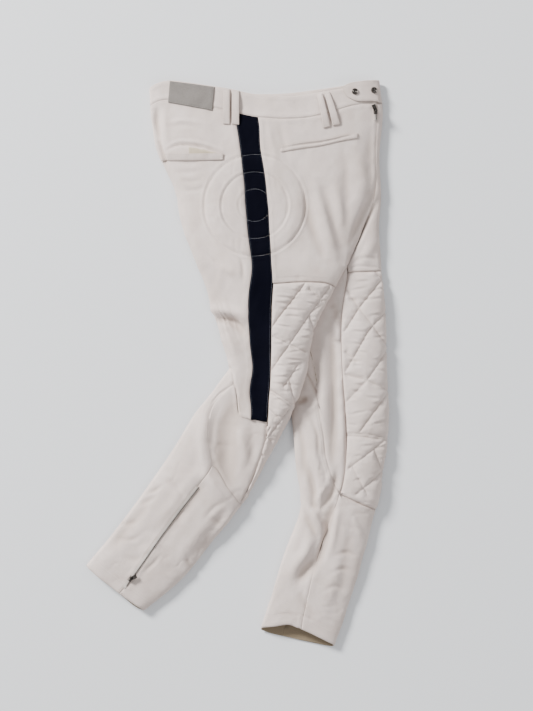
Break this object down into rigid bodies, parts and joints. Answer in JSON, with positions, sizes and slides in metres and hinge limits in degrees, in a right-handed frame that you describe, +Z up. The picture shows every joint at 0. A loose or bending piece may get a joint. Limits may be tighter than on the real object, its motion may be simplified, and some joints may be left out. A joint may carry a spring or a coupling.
{
  "type": "pair of padded riding trousers laid flat",
  "caption": "Pre-bent riding trousers lying on their left side, with quilted knees, a ringed hip pad, a dark side stripe and an ankle zip.",
  "frame": {"origin": "centre of the bounding box's base, on the surface the garment lies on", "axes": "+X from the seat to the front of the garment, +Y from the hems to the waistband, +Z up off the surface"},
  "size_m": [0.5494, 1.0242, 0.0496],
  "materials": {
    "cotton_twill": "off-white brushed cotton twill",
    "navy_stripe": "navy woven stripe",
    "label_patch": "grey felted patch",
    "pocket_lining": "beige plain weave",
    "zip_teeth": "moulded teeth on a woven tape",
    "dark_metal": "dark gunmetal"
  },
  "bodies": {
    "garment": {"band_right": "cotton_twill", "back_right": "cotton_twill", "stripe_right": "navy_stripe", "front_right": "cotton_twill", "knee_right": "cotton_twill", "knee_side_right": "cotton_twill", "calf_right": "cotton_twill", "shin_right": "cotton_twill", "band_left": "cotton_twill", "back_left": "cotton_twill", "front_left": "cotton_twill", "knee_left": "cotton_twill", "calf_left": "cotton_twill", "shin_left": "cotton_twill", "stripe_left": "navy_stripe", "knee_side_left": "cotton_twill", "waist_tab": "cotton_twill", "snap_inner": "dark_metal", "snap_outer": "dark_metal", "label_patch": "label_patch", "belt_loop_side_back": "cotton_twill", "belt_loop_side_front": "cotton_twill", "belt_loop_front_back": "cotton_twill", "belt_loop_front_front": "cotton_twill", "back_pocket_welt": "cotton_twill", "back_pocket_lining": "pocket_lining", "front_pocket_welt": "cotton_twill", "ankle_zip": "zip_teeth", "ankle_zip_slider": "dark_metal", "fly_zip": "zip_teeth", "fly_zip_slider": "dark_metal"},
    "ankle_pull": {"ankle_zip_pull": "dark_metal"},
    "fly_pull": {"fly_zip_pull": "dark_metal"}
  },
  "joints": [
    {"name": "ankle_pull_hinge", "type": "hinge", "parent": "garment", "child": "ankle_pull", "pos_m": [-0.19307, -0.38717, 0.02263], "axis": [0.4385, -0.8985, -0.02], "range_deg": [0, 150]},
    {"name": "fly_pull_hinge", "type": "hinge", "parent": "garment", "child": "fly_pull", "pos_m": [0.24841, 0.45431, 0.02262], "axis": [0.8837, 0.37, -0.2868], "range_deg": [0, 150]}
  ]
}
